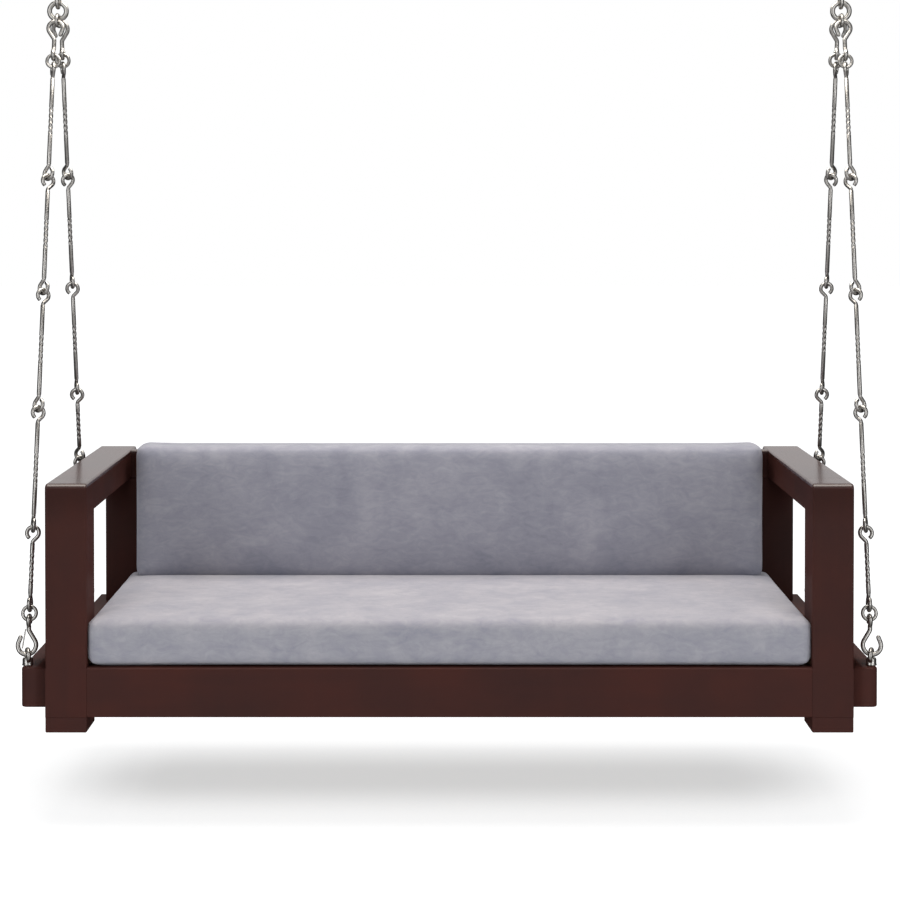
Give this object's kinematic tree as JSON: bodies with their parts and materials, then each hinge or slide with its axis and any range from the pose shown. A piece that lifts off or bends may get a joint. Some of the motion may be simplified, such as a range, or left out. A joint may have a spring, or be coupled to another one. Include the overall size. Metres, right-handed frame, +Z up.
{
  "type": "hanging swing bed",
  "caption": "Wooden day bed that hangs on rod chains from two ceiling hangers, with armrests, a back, a seat cushion and a back cushion.",
  "frame": {"origin": "under the middle of the frame, at the height of the feet's undersides", "axes": "+X to the right seen from the front, +Y to the back, +Z up"},
  "size_m": [1.8712, 0.71, 1.6378],
  "materials": {
    "stained_wood": "satin",
    "plain_wood": "matte",
    "bright_steel": "gloss",
    "zinc_fasteners": "satin",
    "velvet": "matte"
  },
  "bodies": {
    "ceiling_hangers": {"ceiling_hanger_left": "bright_steel", "ceiling_hanger_right": "bright_steel", "top_ring_left": "bright_steel", "top_ring_right": "bright_steel"},
    "swing_links": {"swing_link_left": "bright_steel", "swing_link_right": "bright_steel"},
    "left_chains": {"top_hook_front_left": "bright_steel", "top_hook_rear_left": "bright_steel", "long_rods_front_left": "bright_steel", "long_rods_rear_left": "bright_steel", "short_rod_front_left": "bright_steel", "short_rod_rear_left": "bright_steel", "chain_rings_front_left": "bright_steel", "chain_rings_rear_left": "bright_steel", "lower_hook_front_left": "bright_steel", "lower_hook_rear_left": "bright_steel", "hook_keeper": "bright_steel"},
    "right_chains": {"top_hook_front_right": "bright_steel", "top_hook_rear_right": "bright_steel", "long_rods_front_right": "bright_steel", "long_rods_rear_right": "bright_steel", "short_rod_front_right": "bright_steel", "short_rod_rear_right": "bright_steel", "chain_rings_front_right": "bright_steel", "chain_rings_rear_right": "bright_steel", "lower_hook_front_right": "bright_steel", "lower_hook_rear_right": "bright_steel"},
    "bed": {"eye_bolt_front_left": "bright_steel", "eye_bolt_front_right": "bright_steel", "eye_bolt_rear_left": "bright_steel", "eye_bolt_rear_right": "bright_steel", "eye_bolt_washers": "zinc_fasteners", "eye_bolt_nuts": "zinc_fasteners", "beam_bolts": "zinc_fasteners", "slat_screws": "zinc_fasteners", "front_post_left": "stained_wood", "front_post_right": "stained_wood", "rear_post_left": "stained_wood", "rear_post_right": "stained_wood", "foot_front_left": "stained_wood", "foot_front_right": "stained_wood", "foot_rear_left": "stained_wood", "foot_rear_right": "stained_wood", "front_rail": "stained_wood", "rear_rail": "stained_wood", "side_rail_left": "stained_wood", "side_rail_right": "stained_wood", "hanging_beam_left": "stained_wood", "hanging_beam_right": "stained_wood", "armrest_left": "stained_wood", "armrest_right": "stained_wood", "back_top_rail": "stained_wood", "back_bottom_rail": "stained_wood", "back_slats": "stained_wood", "front_ledger": "plain_wood", "rear_ledger": "plain_wood", "centre_bearer": "plain_wood", "seat_slats": "plain_wood", "seat_cushion": "velvet", "back_cushion": "velvet"}
  },
  "joints": [
    {"name": "fore_aft_swing", "type": "hinge", "parent": "ceiling_hangers", "child": "swing_links", "pos_m": [0, 0.015, 1.5584], "axis": [1, 0, 0], "range_deg": [-25, 25]},
    {"name": "side_sway", "type": "hinge", "parent": "swing_links", "child": "left_chains", "pos_m": [-0.9035, 0.015, 1.5435], "axis": [0, 1, 0], "range_deg": [-2.5, 2.5]},
    {"name": "right_chain_sway", "type": "hinge", "parent": "swing_links", "child": "right_chains", "pos_m": [0.9035, 0.015, 1.5435], "axis": [0, 1, 0], "range_deg": [-2.5, 2.5]},
    {"name": "bed_stays_level", "type": "hinge", "parent": "left_chains", "child": "bed", "pos_m": [-0.9035, 0, 0.1722], "axis": [0, 1, 0], "range_deg": [-2.5, 2.5]}
  ],
  "couplings": [
    {"joint": "right_chain_sway", "follows": "side_sway", "ratio": 1},
    {"joint": "bed_stays_level", "follows": "side_sway", "ratio": -1}
  ]
}
